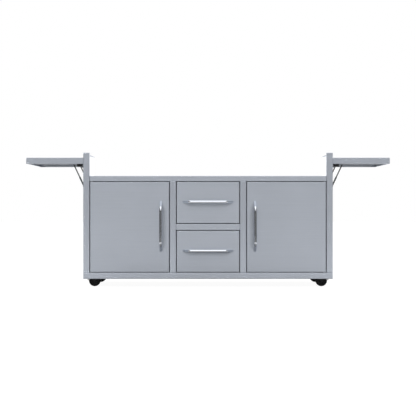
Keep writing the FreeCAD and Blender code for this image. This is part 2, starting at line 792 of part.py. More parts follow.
def add_drawers(parts):
    outers = []
    for name, low in drawer_lows().items():
        parts[name + "_drawer_front"] = drawer_front(low)
        parts[name + "_drawer_box"] = drawer_box(low)
        parts[name + "_drawer_handle"] = drawer_handle(low)
        parts[name + "_slide_inners"] = Part.makeCompound(slide_inners(low))
        parts[name + "_slide_middles"] = Part.makeCompound(slide_middles(low))
        outers.extend(slide_outers(low))
    parts["drawer_slide_outers"] = Part.makeCompound(outers)


def add_shelves(parts):
    add_pair(parts, "shelf_tray", left_shelf_tray())
    add_pair(parts, "shelf_arms", Part.makeCompound(both_brackets(left_shelf_arm)))
    for place, y in bracket_places.items():
        strut = left_strut(y)
        parts["left_" + place + "_strut"] = strut
        parts["right_" + place + "_strut"] = mirrored(strut)
    for name, maker in (("shelf_wall_brackets", left_wall_bracket),
                        ("shelf_bracket_pins", left_bracket_pins),
                        ("bracket_screws", left_bracket_screws)):
        left = both_brackets(maker)
        parts[name] = Part.makeCompound(left + [mirrored(piece) for piece in left])


def add_casters(parts):
    plates, bolts = [], []
    for name, place in caster_places().items():
        braked = name.startswith("front")
        plates.extend(caster_plate(*place))
        bolts.extend(caster_bolt(x, y) for x, y in plate_bolts(*place))
        fork = [place_caster(piece, place) for piece in caster_fork(braked)]
        parts[name + "_fork"] = Part.makeCompound(fork)
        parts[name + "_tyre"] = place_caster(caster_tyre(), place)
        parts[name + "_hub"] = place_caster(caster_hub(), place)
        if braked:
            parts[name + "_brake_pedal"] = place_caster(brake_pedal(), place)
    parts["caster_top_plates"] = Part.makeCompound(plates)
    parts["caster_bolts"] = Part.makeCompound(bolts)


def main():
    parts = {}
    add_cabinet(parts)
    add_doors(parts)
    add_drawers(parts)
    add_shelves(parts)
    add_casters(parts)
    os.makedirs("parts", exist_ok=True)
    for name, shape in parts.items():
        shape.exportStep("parts/" + name + ".step")


main()
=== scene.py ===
import json
import math

import bmesh
import bpy
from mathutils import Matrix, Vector


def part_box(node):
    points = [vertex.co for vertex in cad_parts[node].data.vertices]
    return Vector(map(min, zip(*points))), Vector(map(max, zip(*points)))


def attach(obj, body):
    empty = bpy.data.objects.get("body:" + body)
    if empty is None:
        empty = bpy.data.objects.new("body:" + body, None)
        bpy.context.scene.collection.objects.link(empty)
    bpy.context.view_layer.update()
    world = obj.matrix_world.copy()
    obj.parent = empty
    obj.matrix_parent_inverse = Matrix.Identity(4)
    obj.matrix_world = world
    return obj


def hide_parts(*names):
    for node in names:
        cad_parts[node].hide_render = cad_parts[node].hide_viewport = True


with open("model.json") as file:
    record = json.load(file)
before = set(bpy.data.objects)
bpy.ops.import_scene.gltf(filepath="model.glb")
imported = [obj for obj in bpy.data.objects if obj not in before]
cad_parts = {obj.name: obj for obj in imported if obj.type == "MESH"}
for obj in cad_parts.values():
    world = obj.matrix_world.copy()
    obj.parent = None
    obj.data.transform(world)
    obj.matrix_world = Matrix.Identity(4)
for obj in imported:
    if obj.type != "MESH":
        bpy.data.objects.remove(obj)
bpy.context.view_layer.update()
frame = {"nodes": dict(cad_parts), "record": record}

# Lengths are metres, colours and levels are linear, and angles are degrees.

# The cart's own planes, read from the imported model
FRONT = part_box("left_front_post")[0].y
SIDE = -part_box("left_side_panel")[0].x

# Camera, as the photograph was taken
CAMERA_DISTANCE = 6.8        # in front of the face frame
CAMERA_HEIGHT = 0.508
CAMERA_RANGE = (0.05, 100.0)
LENS = 91.8                  # millimetres, as is the sensor
SENSOR = 36.0

# Colours of the finishes
STEEL = (0.42, 0.449, 0.501)
UPRIGHT_PAINTED_LIGHT = 1.11          # posts and stiles get steel that much lighter: painted light, to even their upright grain's reflections with the rest
INNER_STEEL = (0.62, 0.64, 0.68)
ZINC = (0.52, 0.54, 0.57)
# Struts: plated steel darkened with painted shade from the shelves above them
STRUT_STEEL_IN_SHADE = (0.11, 0.12, 0.125)
CHROME = (0.79, 0.82, 0.87)
BLACK_COAT_AND_SHADOW = (0.030, 0.030, 0.033)
CASTER_BLACK = (0.015, 0.015, 0.017)
RUBBER = (0.017, 0.017, 0.018)
WHITE_PLASTIC = (0.62, 0.62, 0.60)

# Darkest and lightest shade of each kind of finish, as shares of its colour
SHEET_SHADES = (0.94, 1.06)
POLISH_SHADES = (0.96, 1.0)
PLATED_SHADES = (0.85, 1.15)
COATED_SHADES = (0.75, 1.3)
MIDDLE_TONE = 0.5            # between the two shades

# Brushed sheet
SATIN = 0.85                 # metallic share
BRUSHED_ROUGHNESS = 0.29
BRUSHED_ANISOTROPY = 0.5
CROSSWISE = (0.6, 0.8)       # direction across the grain, aslant so that it suits faces either way

# Bracket steel: where its black ends, a black coat on the arms and a painted shadow on the struts
COATED_REACH = 0.052         # on the arms, outward from the side panels
STRUT_SHADOW_TIP = 0.745           # on the struts, the height above which they are black as painted shadow of the shelves, with the shelves out

# Textures, as waves per metre. Those with a grain have one number along it and one across it.
FINE_LINES = (7, 2400)
STROKES = (3, 320)
SHEET_CLOUD = 3
SHEET_MARKS = 16
ROLL_LINES = (4, 260)
ROLL_CLOUD = 5
ROLL_MARKS = 45
POLISH_SWIRL = 60
FINGER_MARKS = 18
ZINC_PATCHES = 160
ZINC_GRIME = 70
COAT_SCUFFS = 55
BRACKET_WEAR = 90

# Rounded look of the edges, by radius, and the wear on them
SHEET_EDGE = 0.001
INNER_EDGE = 0.0008
SMALL_EDGE = 0.0006
EDGE_SAMPLES = 4
EDGE_TURN = (0.995, 0.85)    # cosines of the turn of the normal, where wear begins and where it is full

# Studio that the cart reflects: the sky's levels by degrees above the horizon, and those of the walls
SKY = ((-10, 0.12), (2.5, 0.12), (6, 0.85), (30, 1.0), (45, 1.8), (65, 1.5), (90, 1.0))
LEFT_WALL = 0.10
RIGHT_WALL = 0.25
SIDE_WALLS = (0.45, 0.8)     # sideways share of a direction where such a wall begins and where it is full
REAR_WALL = 2.2
REAR_SKY = 0.8
REAR_RISE = (0.10, 0.20)     # upward share of a direction where the rear wall ends and its sky begins
REAR_PART = (0.7, 0.95)      # rearward share where wall and sky begin and where they are full

# Floor as the cart reflects it: its levels by metres from the cart's middle, with painted shadow under
# the cart, a painted ring of light round it, and dark beyond
FLOOR_REACH = 30.0
FLOOR = ((0.0, 0.1), (0.38, 0.1), (0.5, 0.35), (0.65, 0.35), (0.85, 0.3), (1.15, 0.9), (4.7, 0.75),
         (7.2, 0.1), (FLOOR_REACH, 0.1))
FLOOR_ROUGHNESS = 0.9
REAR_FLOOR = 1.4             # glow of the floor behind the cart
REAR_START = (1.5, 5.0)      # how far back that glow begins and where it is full

# Floor, as the camera sees it
FLOOR_GLOW = 0.95            # where no light falls on it
FLOOR_SHADE = 0.2            # how much of the light that falls on it shows

# Soft key lights: each lights only its own part of the cart, so that a handle casts one soft shade
KEY_SLOTS = ("cabinet_steel", "front_steel", "shelf_steel")
KEY_STRENGTH = 5.2
KEY_SIZE = 20.0
SIDE_KEY = (20.0, 8.0)       # outward from straight ahead, and above the horizon
MIDDLE_KEY = (0.0, 20.0)
MIDDLE_WIDTH = 0.01          # nodes centred nearer to the cart's middle are lit by the middle key
RAIL_FILL = 1.4              # second light for the bottom rail, which reflects the dark floor by the cart

# Meshes
SHARP_ANGLE = 38
SMALL_SEGMENTS = 24          # round the rivets and pins
CORNER_STEPS = 4             # of a quarter circle in the round corners
ROUNDING_STEPS = 3           # of a quarter circle over the edges of a block
BLOCK_CORNER = 1.05          # radius of a block's upright edges, as a share of its rounding

# Screws, with shares of the head's radius and height
SCREW_RADIUS = 0.004
SCREW_HEIGHT = 0.0016
SLIDE_SCREW_RADIUS = 0.0032
SLIDE_SCREW_HEIGHT = 0.0011
HEAD_SEGMENTS = 32
HEAD_RINGS = 13
HEAD_SPACING = 1.3           # above 1, the rings crowd towards the rim
HEAD_REACH = 0.985           # how far in the last ring lies
HEAD_CROWN = (2.6, 0.45)     # powers of the rounded profile
RECESS_ARM = 0.52
RECESS_BLADE = 0.13
RECESS_DEPTH = 0.55

# Rivets
RIVET_RADIUS = 0.003
RIVET_HEIGHT = 0.0009
RIVET_EDGE = 0.35            # share of its height that stands upright
RIVET_STEPS = 5
RIVET_RISE = 15              # degrees for each of them
RIVET_INSET = 0.0085         # in from the edges of the door liner
RIVETS_ACROSS = 5
RIVETS_UP = 6

# Pins of the shelf brackets
PIN_RADIUS = 0.003
PIN_HEAD = 0.0045
PIN_HEAD_HEIGHT = 0.0009
PIN_HEAD_PROFILE = ((0.5, 0.0), (0.85, 0.25), (1.0, 0.6), (1.0, 1.0))    # shares of radius and depth
HINGE_PIN_REACH = 0.010
BRACE_PIN_REACH = 0.0075
BRACE_PIN_OUT = 0.007        # from the side panels

# Drawer boxes
BOX_SHEET = 0.0012           # its thickness
HEM_RADIUS = 0.0015
HEM_CORNER = 0.004
HEM_SIDES = 10
FRONT_SCREW_INSET = 0.04     # in from the edges of the box
SLIDE_SCREW_PLACES = (-0.2, 0.0, 0.2)    # front to back
SLIDE_WEB = 0.0014           # thickness of the inner slide, which lies against the box

# Door catches
CATCH_HEIGHT = 0.020
CATCH_WIDTH = 0.040
CATCH_ROUNDING = 0.0015
CATCH_TAB = 0.003            # its thickness
CATCH_TAB_START = 0.003      # back from the poles' front
CATCH_TAB_ROOT = 0.002       # how far the tab reaches down into the housing
CATCH_TAB_ROUNDING = 0.0008
POLE_WIDTH = 0.030
POLE_SHEET = 0.0016
POLE_SPACING = 0.008
POLE_PROUD = 0.0008          # in front of the housing
POLE_ROOT = 0.004            # how far a pole reaches back into the housing
POLE_ROUNDING = 0.0002

# Wheels
WHEEL_SEGMENTS = 96
HUB_BORE = 0.00405
HUB_BOSS = 0.009
HUB_WEB = 0.004              # half of the web's thickness
HUB_CHAMFER = 0.0005
HUB_RIM_WALL = 0.004
HUB_RIM_SETBACK = 0.002
HUB_RIM_CHAMFER = 0.0004
HUB_RIBS = 8
HUB_RIB_PART = 6             # a rib takes up one of so many parts of the way to the next
HUB_RIB_DROP = 0.002         # below the boss, where a rib starts
TYRE_BEAD = ((0.0, 0.0008), (0.0008, 0.0), (0.0020, 0.0), (0.0024, 0.0005), (0.0030, 0.0005),
             (0.0034, 0.0))  # out from the rim, and in from the tyre's side
TYRE_SHOULDER = 0.004
SHOULDER_STEPS = 6
TREAD_GROOVE = 0.0006

# Ridges of the brake pedals
PEDAL_RING = 0.0435          # middle of the pedal's plate from the axle
PEDAL_PLATE = 0.003          # its thickness
PEDAL_HEEL = 166.0           # round the wheel from its inner side
PEDAL_RIDGE = 0.0006
PEDAL_RIDGES = (0.002, 0.0045, 0.007)    # along the straight toe
RIDGE_INSET = 0.003          # in from the pedal's sides
RIDGE_SEGMENTS = 12


def new_material(name):
    material = bpy.data.materials.new(name)
    material.use_nodes = True
    nodes, links = material.node_tree.nodes, material.node_tree.links
    return material, nodes, links, nodes["Principled BSDF"]


def feed(links, socket, value):
    # Gives a socket another node's output, or a number or colour of its own
    if isinstance(value, bpy.types.NodeSocket):
        links.new(value, socket)
    elif isinstance(value, tuple):
        socket.default_value = (*value, 1.0)
    else:
        socket.default_value = value


def position(nodes):
    # Place on a piece, in the cart's own frame at rest
    return nodes.new("ShaderNodeTexCoord").outputs["Object"]


def split_axes(nodes, links, vector):
    split = nodes.new("ShaderNodeSeparateXYZ")
    links.new(vector, split.inputs["Vector"])
    return split.outputs


def stretched(nodes, links, scale):
    # Position in waves per metre on x, y and z
    mapping = nodes.new("ShaderNodeMapping")
    mapping.inputs["Scale"].default_value = scale
    links.new(position(nodes), mapping.inputs["Vector"])
    return mapping.outputs["Vector"]


def even(frequency):
    return (frequency, frequency, frequency)


def grained(frequencies, grain):
    # Frequencies on x, y and z of a texture whose grain runs along one of them
    along, across = frequencies
    return tuple(along if letter == grain else across for letter in "xyz")


def noise(nodes, links, scale, detail=4.0, roughness=0.55):
    texture = nodes.new("ShaderNodeTexNoise")
    texture.inputs["Scale"].default_value = 1.0
    texture.inputs["Detail"].default_value = detail
    texture.inputs["Roughness"].default_value = roughness
    links.new(stretched(nodes, links, scale), texture.inputs["Vector"])
    return texture.outputs["Fac"]


def calculated(nodes, links, operation, *values):
    # One step of arithmetic on numbers and other nodes' outputs
    step = nodes.new("ShaderNodeMath")
    step.operation = operation
    for socket, value in zip(step.inputs, values):
        feed(links, socket, value)
    return step.outputs["Value"]


def summed(nodes, links, base, parts):
    # A base value with textures round it, each centred on zero and given its weight
    total = base - sum(weight / 2 for texture, weight in parts)
    for texture, weight in parts:
        total = calculated(nodes, links, "MULTIPLY_ADD", texture, weight, total)
    return total


def ranged(nodes, links, source, low, high, top=1.0):
    # 0 at the low value, the top value at the high one, and even in between
    step = nodes.new("ShaderNodeMapRange")
    step.inputs["From Min"].default_value = low
    step.inputs["From Max"].default_value = high
    step.inputs["To Max"].default_value = top
    links.new(source, step.inputs["Value"])
    return step.outputs["Result"]


def mixed(nodes, links, share, first, second):
    # Blends from the first colour to the second as the share goes from 0 to 1
    mix = nodes.new("ShaderNodeMix")
    mix.data_type = "RGBA"
    feed(links, mix.inputs["Factor"], share)
    feed(links, mix.inputs["A"], first)
    feed(links, mix.inputs["B"], second)
    return mix.outputs["Result"]


def scaled(colour, factor):
    return tuple(min(1.0, channel * factor) for channel in colour)


def grey(level):
    return (level, level, level)


def shaded(nodes, links, tone, colour, shades):
    # One colour, from its darkest to its lightest shade by a texture
    darkest, lightest = shades
    return mixed(nodes, links, tone, scaled(colour, darkest), scaled(colour, lightest))


def rounded_normal(nodes, links, radius):
    # Normal that turns over an edge as if the edge were round
    bevel = nodes.new("ShaderNodeBevel")
    bevel.samples = EDGE_SAMPLES
    bevel.inputs["Radius"].default_value = radius
    return bevel.outputs["Normal"]


def worn_edges(nodes, links, normal):
    # Mask of the edges, where the rounded normal leaves the true one, and where hands and cloths rub
    geometry = nodes.new("ShaderNodeNewGeometry")
    compare = nodes.new("ShaderNodeVectorMath")
    compare.operation = "DOT_PRODUCT"
    links.new(normal, compare.inputs[0])
    links.new(geometry.outputs["Normal"], compare.inputs[1])
    return ranged(nodes, links, compare.outputs["Value"], *EDGE_TURN)


def bumped(nodes, links, shader, height, normal, strength, distance):
    bump = nodes.new("ShaderNodeBump")
    bump.inputs["Strength"].default_value = strength
    bump.inputs["Distance"].default_value = distance
    links.new(height, bump.inputs["Height"])
    links.new(normal, bump.inputs["Normal"])
    links.new(bump.outputs["Normal"], shader.inputs["Normal"])


def across_grain(nodes, links, grain):
    # Direction across the brushing, along which reflections stretch
    direction = nodes.new("ShaderNodeCombineXYZ")
    for letter, share in zip((letter for letter in "xyz" if letter != grain), CROSSWISE):
        direction.inputs[letter.upper()].default_value = share
    turn = nodes.new("ShaderNodeVectorTransform")
    turn.vector_type = "VECTOR"
    turn.convert_from = "OBJECT"
    turn.convert_to = "WORLD"
    links.new(direction.outputs["Vector"], turn.inputs["Vector"])
    return turn.outputs["Vector"]


def brushed_steel(name, colour, grain):
    # Sheet steel: fine lines along its grain, stray longer strokes, soft clouding and handling marks
    material, nodes, links, shader = new_material(name)
    fine = noise(nodes, links, grained(FINE_LINES, grain), detail=3.0, roughness=0.6)
    strokes = noise(nodes, links, grained(STROKES, grain), detail=2.0)
    cloud = noise(nodes, links, even(SHEET_CLOUD), detail=2.0)
    marks = noise(nodes, links, even(SHEET_MARKS))
    normal = rounded_normal(nodes, links, SHEET_EDGE)
    edge = worn_edges(nodes, links, normal)
    tone = summed(nodes, links, MIDDLE_TONE, ((fine, 1.1), (strokes, 0.9), (cloud, 0.7), (edge, 0.3)))
    links.new(shaded(nodes, links, tone, colour, SHEET_SHADES), shader.inputs["Base Color"])
    finish = summed(nodes, links, BRUSHED_ROUGHNESS,
                    ((fine, 0.10), (strokes, 0.07), (marks, 0.05), (edge, -0.05)))
    links.new(finish, shader.inputs["Roughness"])
    bumped(nodes, links, shader, fine, normal, strength=0.03, distance=0.0001)
    shader.inputs["Metallic"].default_value = SATIN
    shader.inputs["Anisotropic"].default_value = BRUSHED_ANISOTROPY
    links.new(across_grain(nodes, links, grain), shader.inputs["Tangent"])
    return material


def rolled_steel(name, colour, roughness):
    # Mill finish of the sheet inside: no brushing, faint roll lines and clouds
    material, nodes, links, shader = new_material(name)
    rolls = noise(nodes, links, grained(ROLL_LINES, "y"), detail=2.0)
    cloud = noise(nodes, links, even(ROLL_CLOUD), detail=3.0)
    marks = noise(nodes, links, even(ROLL_MARKS), detail=5.0)
    normal = rounded_normal(nodes, links, INNER_EDGE)
    edge = worn_edges(nodes, links, normal)
    tone = summed(nodes, links, MIDDLE_TONE, ((rolls, 0.5), (cloud, 1.0), (marks, 0.4), (edge, 0.3)))
    links.new(shaded(nodes, links, tone, colour, SHEET_SHADES), shader.inputs["Base Color"])
    finish = summed(nodes, links, roughness, ((rolls, 0.06), (marks, 0.10), (cloud, 0.06)))
    links.new(finish, shader.inputs["Roughness"])
    bumped(nodes, links, shader, marks, normal, strength=0.04, distance=0.0002)
    shader.inputs["Metallic"].default_value = 1.0
    return material


def polished_steel(name, colour, roughness):
    # Buffed tube: near mirror, with faint polishing swirls and finger marks
    material, nodes, links, shader = new_material(name)
    swirl = noise(nodes, links, even(POLISH_SWIRL), detail=6.0)
    marks = noise(nodes, links, even(FINGER_MARKS), detail=3.0)
    links.new(shaded(nodes, links, swirl, colour, POLISH_SHADES), shader.inputs["Base Color"])
    finish = summed(nodes, links, roughness, ((swirl, 0.08), (marks, 0.06)))
    links.new(finish, shader.inputs["Roughness"])
    shader.inputs["Metallic"].default_value = 1.0
    return material


def plated_steel(name, colour, roughness):
    # Zinc plate with its small crystal patches, rubbed bright along its edges
    material, nodes, links, shader = new_material(name)
    cells = nodes.new("ShaderNodeTexVoronoi")
    links.new(stretched(nodes, links, even(ZINC_PATCHES)), cells.inputs["Vector"])
    patches = nodes.new("ShaderNodeSeparateColor")
    links.new(cells.outputs["Color"], patches.inputs["Color"])
    grime = noise(nodes, links, even(ZINC_GRIME))
    normal = rounded_normal(nodes, links, SMALL_EDGE)
    edge = worn_edges(nodes, links, normal)
    tone = summed(nodes, links, MIDDLE_TONE, ((patches.outputs["Red"], 0.5), (grime, 0.9), (edge, 0.8)))
    links.new(shaded(nodes, links, tone, colour, PLATED_SHADES), shader.inputs["Base Color"])
    finish = summed(nodes, links, roughness, ((patches.outputs["Green"], 0.08), (grime, 0.12)))
    links.new(finish, shader.inputs["Roughness"])
    bumped(nodes, links, shader, grime, normal, strength=0.06, distance=0.0002)
    shader.inputs["Metallic"].default_value = 1.0
    return material


def coated(name, colour, roughness, grain, bump):
    # Powder coat, rubber or moulded plastic: a dielectric with its surface grain, scuffed at the edges
    material, nodes, links, shader = new_material(name)
    speckle = noise(nodes, links, even(1.0 / grain), detail=3.0)
    scuffs = noise(nodes, links, even(COAT_SCUFFS), detail=5.0)
    normal = rounded_normal(nodes, links, SMALL_EDGE)
    edge = worn_edges(nodes, links, normal)
    tone = summed(nodes, links, MIDDLE_TONE, ((scuffs, 0.9), (edge, 0.7)))
    links.new(shaded(nodes, links, tone, colour, COATED_SHADES), shader.inputs["Base Color"])
    finish = summed(nodes, links, roughness, ((speckle, 0.16), (scuffs, 0.14), (edge, -0.08)))
    links.new(finish, shader.inputs["Roughness"])
    bumped(nodes, links, shader, speckle, normal, strength=bump, distance=grain / 4)
    return material


def coated_and_shadowed_end(name, colour, roughness, axis, bare_side, limit):
    # Plated bracket steel whose end by the hinge is black: a black coat on the arms, painted shadow on
    # the struts.
    # Bare steel starts at a limit, which is a distance from the cart's middle or a height.
    material, nodes, links, shader = new_material(name)
    outward = calculated(nodes, links, "ABSOLUTE", split_axes(nodes, links, position(nodes))[axis])
    bare = calculated(nodes, links, bare_side, outward, limit)
    wear = noise(nodes, links, even(BRACKET_WEAR))
    plated = shaded(nodes, links, wear, colour, PLATED_SHADES)
    # Black where the steel is not bare: a coat on the arms, painted shadow at the struts' tips
    links.new(mixed(nodes, links, bare, BLACK_COAT_AND_SHADOW, plated), shader.inputs["Base Color"])
    links.new(bare, shader.inputs["Metallic"])
    links.new(summed(nodes, links, roughness, ((wear, 0.24),)), shader.inputs["Roughness"])
    normal = rounded_normal(nodes, links, SMALL_EDGE)
    bumped(nodes, links, shader, wear, normal, strength=0.05, distance=0.0002)
    return material


def make_materials():
    black_arm = {"axis": "X", "bare_side": "GREATER_THAN", "limit": SIDE + COATED_REACH}
    shadowed_strut = {"axis": "Z", "bare_side": "LESS_THAN", "limit": STRUT_SHADOW_TIP}
    return {
        "arm_steel": coated_and_shadowed_end("arm_steel", ZINC, roughness=0.42, **black_arm),
        "cabinet_across": brushed_steel("cabinet_across", STEEL, "x"),
        # Posts and stiles: the same steel, made lighter as painted light
        "cabinet_upright": brushed_steel("cabinet_upright", scaled(STEEL, UPRIGHT_PAINTED_LIGHT), "z"),
        "front_steel": brushed_steel("front_steel", STEEL, "x"),
        "shelf_steel": brushed_steel("shelf_steel", STEEL, "y"),
        "side_steel": brushed_steel("side_steel", STEEL, "y"),
        "inner_steel": rolled_steel("inner_steel", INNER_STEEL, roughness=0.40),
        "polished_steel": polished_steel("polished_steel", CHROME, roughness=0.10),
        "black_steel": coated("black_steel", BLACK_COAT_AND_SHADOW, roughness=0.42, grain=0.0012, bump=0.15),
        # Struts: black tips of painted shadow from the shelves above
        "plated_steel": coated_and_shadowed_end("plated_steel", STRUT_STEEL_IN_SHADE, roughness=0.42, **shadowed_strut),
        "slide_steel": plated_steel("slide_steel", ZINC, roughness=0.38),
        "hardware_steel": plated_steel("hardware_steel", ZINC, roughness=0.3),
        "caster_steel": coated("caster_steel", CASTER_BLACK, roughness=0.38, grain=0.0010, bump=0.1),
        "caster_tyre": coated("caster_tyre", RUBBER, roughness=0.62, grain=0.0016, bump=0.3),
        "black_plastic": coated("black_plastic", CASTER_BLACK, roughness=0.45, grain=0.0008, bump=0.2),
        "catch_plastic": coated("catch_plastic", WHITE_PLASTIC, roughness=0.5, grain=0.0008, bump=0.15),
    }


def finish_for(node, slot):
    # Sheet parts of one slot differ in the way their grain runs
    if "shelf_arms" in node:
        return "arm_steel"
    if slot == "cabinet_steel":
        if "post" in node or "stile" in node:
            return "cabinet_upright"
        return "side_steel" if "side_panel" in node or node == "top_deck" else "cabinet_across"
    return slot


def dress_nodes(materials, slots):
    # Finishes of the nodes that are kept as they are
    for name, node in frame["nodes"].items():
        node.material_slots[0].material = materials[finish_for(name, slots[name])]


def add_piece(materials, name, shapes, body, slot, replaces=()):
    # One mesh from several closed shapes, in place in the cart's frame
    mesh = bpy.data.meshes.new(name)
    builder = bmesh.new()
    for points, faces in shapes:
        corners = [builder.verts.new(point) for point in points]
        for face in faces:
            builder.faces.new([corners[index] for index in face])
    bmesh.ops.recalc_face_normals(builder, faces=builder.faces)
    builder.to_mesh(mesh)
    builder.free()
    mesh.shade_smooth()
    mesh.set_sharp_from_angle(angle=math.radians(SHARP_ANGLE))
    mesh.materials.append(materials[slot])
    piece = bpy.data.objects.new(name, mesh)
    bpy.context.scene.collection.objects.link(piece)
    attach(piece, body)
    if replaces:
        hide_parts(*replaces)


def band(this, following, count):
    # Faces between two rings of points, each known by the number of its first point
    faces = []
    for step in range(count):
        beside = (step + 1) % count
        faces.append((this + step, this + beside, following + beside, following + step))
    return faces


def end_faces(total, count):
    # Faces over the first and the last ring of a shape's points
    return [tuple(reversed(range(count))), tuple(range(total - count, total))]


def turned(rings, segments, height=None, closed=False):
    # Surface of revolution round Z from (radius, z) rings, whose heights may change with the angle
    points, faces = [], []
    for radius, z in rings:
        for step in range(segments):
            angle = 2 * math.pi * step / segments
            level = height(radius, z, angle) if height else z
            points.append(Vector((radius * math.cos(angle), radius * math.sin(angle), level)))
    count = len(rings)
    for ring in range(count if closed else count - 1):
        faces += band(ring * segments, (ring + 1) % count * segments, segments)
    if not closed:
        faces += end_faces(len(points), segments)
    return points, faces


def placed(shape, place, axis):
    # Turns a shape's own Z to an axis, and moves it
    points, faces = shape
    turn = Vector((0, 0, 1)).rotation_difference(Vector(axis))
    return [turn @ point + Vector(place) for point in points], faces


def pan_head(radius, height):
    # Rounded screw head with its cross recess
    arm, blade = RECESS_ARM * radius, RECESS_BLADE * radius
    crown, slope = HEAD_CROWN

    def level(r, z, angle):
        x, y = abs(r * math.cos(angle)), abs(r * math.sin(angle))
        inside = min(x, y) < blade and max(x, y) < arm
        return z - RECESS_DEPTH * height if inside else z

    rings = [(radius, 0.0)]
    for step in range(1, HEAD_RINGS + 1):
        r = radius * (1 - (step / HEAD_RINGS) ** HEAD_SPACING * HEAD_REACH)
        rings.append((r, height * (1 - (r / radius) ** crown) ** slope))
    return turned(rings, HEAD_SEGMENTS, level)


def rivet_head():
    # Low dome on a short upright edge
    rings = [(RIVET_RADIUS, 0.0)]
    for step in range(RIVET_STEPS + 1):
        angle = math.radians(RIVET_RISE * step)
        rise = RIVET_EDGE + (1 - RIVET_EDGE) * math.sin(angle)
        rings.append((RIVET_RADIUS * math.cos(angle), RIVET_HEIGHT * rise))
    return turned(rings, SMALL_SEGMENTS)


def pin(reach):
    # Bracket pin with both ends upset
    end = [(share * PIN_HEAD, reach - depth * PIN_HEAD_HEIGHT) for share, depth in PIN_HEAD_PROFILE]
    end.append((PIN_RADIUS, reach - PIN_HEAD_HEIGHT))
    return turned(end + [(r, -z) for r, z in reversed(end)], SMALL_SEGMENTS)


def round_rectangle(low, high, corner):
    # Points of a rectangle with round corners, each with its outward direction
    right, left = high[0] - corner, low[0] + corner
    back, front = high[1] - corner, low[1] + corner
    loop = []
    for turn, (x, y) in enumerate(((right, back), (left, back), (left, front), (right, front))):
        for step in range(CORNER_STEPS + 1):
            angle = math.radians(90 * turn + 90 / CORNER_STEPS * step)
            away = (math.cos(angle), math.sin(angle))
            loop.append((x + corner * away[0], y + corner * away[1], away))
    return loop


def hem(low, high):
    # Rolled top edge of a drawer box, flush with its outer faces
    path = round_rectangle((low.x + HEM_RADIUS, low.y + HEM_RADIUS),
                           (high.x - HEM_RADIUS, high.y - HEM_RADIUS), HEM_CORNER)
    points, faces = [], []
    for x, y, away in path:
        for side in range(HEM_SIDES):
            angle = 2 * math.pi * side / HEM_SIDES
            out = HEM_RADIUS * math.cos(angle)
            z = high.z - HEM_RADIUS + HEM_RADIUS * math.sin(angle)
            points.append(Vector((x + out * away[0], y + out * away[1], z)))
    for place in range(len(path)):
        faces += band(place * HEM_SIDES, (place + 1) % len(path) * HEM_SIDES, HEM_SIDES)
    return points, faces


def block(low, high, rounding):
    # Moulded or sheared block with its edges rounded
    points, faces = [], []
    arc = [math.radians(90 * step / ROUNDING_STEPS) for step in range(ROUNDING_STEPS + 1)]
    levels = [(rounding * (1 - math.sin(a)), low[2] + rounding * (1 - math.cos(a))) for a in arc]
    levels += [(inset, low[2] + high[2] - z) for inset, z in reversed(levels)]
    for inset, z in levels:
        ring = round_rectangle((low[0] + inset, low[1] + inset), (high[0] - inset, high[1] - inset),
                               rounding * BLOCK_CORNER - inset)
        points += [Vector((x, y, z)) for x, y, away in ring]
    count = len(ring)
    for level in range(len(levels) - 1):
        faces += band(level * count, (level + 1) * count, count)
    return points, faces + end_faces(len(points), count)


def evenly(low, high, count):
    # So many places from the low one to the high one
    return [low + (high - low) * step / (count - 1) for step in range(count)]


def add_bracket_hardware(materials):
    # Screws of the wall brackets, and the bracket pins with their upset ends
    low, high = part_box("bracket_screws")
    heads = []
    for side in (-1, 1):
        for y in (low.y + SCREW_RADIUS, high.y - SCREW_RADIUS):
            for z in (low.z + SCREW_RADIUS, high.z - SCREW_RADIUS):
                place = (side * (high.x - SCREW_HEIGHT), y, z)
                heads.append(placed(pan_head(SCREW_RADIUS, SCREW_HEIGHT), place, (side, 0, 0)))
    add_piece(materials, "bracket_screw_heads", heads, "cabinet", "hardware_steel", ["bracket_screws"])
    low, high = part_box("shelf_bracket_pins")
    pins = []
    for side in (-1, 1):
        for y in (low.y + HINGE_PIN_REACH, high.y - HINGE_PIN_REACH):
            hinge = (side * (high.x - PIN_RADIUS), y, high.z - PIN_RADIUS)
            brace = (side * (SIDE + BRACE_PIN_OUT), y, low.z + PIN_RADIUS)
            pins.append(placed(pin(HINGE_PIN_REACH), hinge, (0, 1, 0)))
            pins.append(placed(pin(BRACE_PIN_REACH), brace, (0, 1, 0)))
    add_piece(materials, "upset_bracket_pins", pins, "cabinet", "hardware_steel", ["shelf_bracket_pins"])


def add_drawer_hardware(materials):
    # Hems, the screws that hold the fronts, and the screws of the inner slides
    for name in ("upper", "lower"):
        low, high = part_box(name + "_drawer_box")
        body = name + "_drawer"
        add_piece(materials, name + "_drawer_hem", [hem(low, high)], body, "inner_steel")
        screws = []
        for x in (low.x + FRONT_SCREW_INSET, high.x - FRONT_SCREW_INSET):
            for z in (low.z + FRONT_SCREW_INSET, high.z - FRONT_SCREW_INSET):
                place = (x, low.y + BOX_SHEET, z)
                screws.append(placed(pan_head(SCREW_RADIUS, SCREW_HEIGHT), place, (0, 1, 0)))
        slide_low, slide_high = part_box(name + "_slide_inners")
        slide_middle = (slide_low.z + slide_high.z) / 2
        for side in (-1, 1):
            for y in SLIDE_SCREW_PLACES:
                place = (side * (high.x + SLIDE_WEB), y, slide_middle)
                head = pan_head(SLIDE_SCREW_RADIUS, SLIDE_SCREW_HEIGHT)
                screws.append(placed(head, place, (side, 0, 0)))
        add_piece(materials, name + "_drawer_screws", screws, body, "hardware_steel")


def add_liner_rivets(materials):
    # Rows of rivets along the four edges of each door liner
    for name in ("left", "right"):
        low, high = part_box(name + "_door_liner")
        left, right = low.x + RIVET_INSET, high.x - RIVET_INSET
        bottom, top = low.z + RIVET_INSET, high.z - RIVET_INSET
        places = [(x, z) for z in (bottom, top) for x in evenly(left, right, RIVETS_ACROSS)]
        places += [(x, z) for x in (left, right) for z in evenly(bottom, top, RIVETS_UP)[1:-1]]
        rivets = [placed(rivet_head(), (x, high.y, z), (0, 1, 0)) for x, z in places]
        add_piece(materials, name + "_liner_rivets", rivets, name + "_door", "hardware_steel")


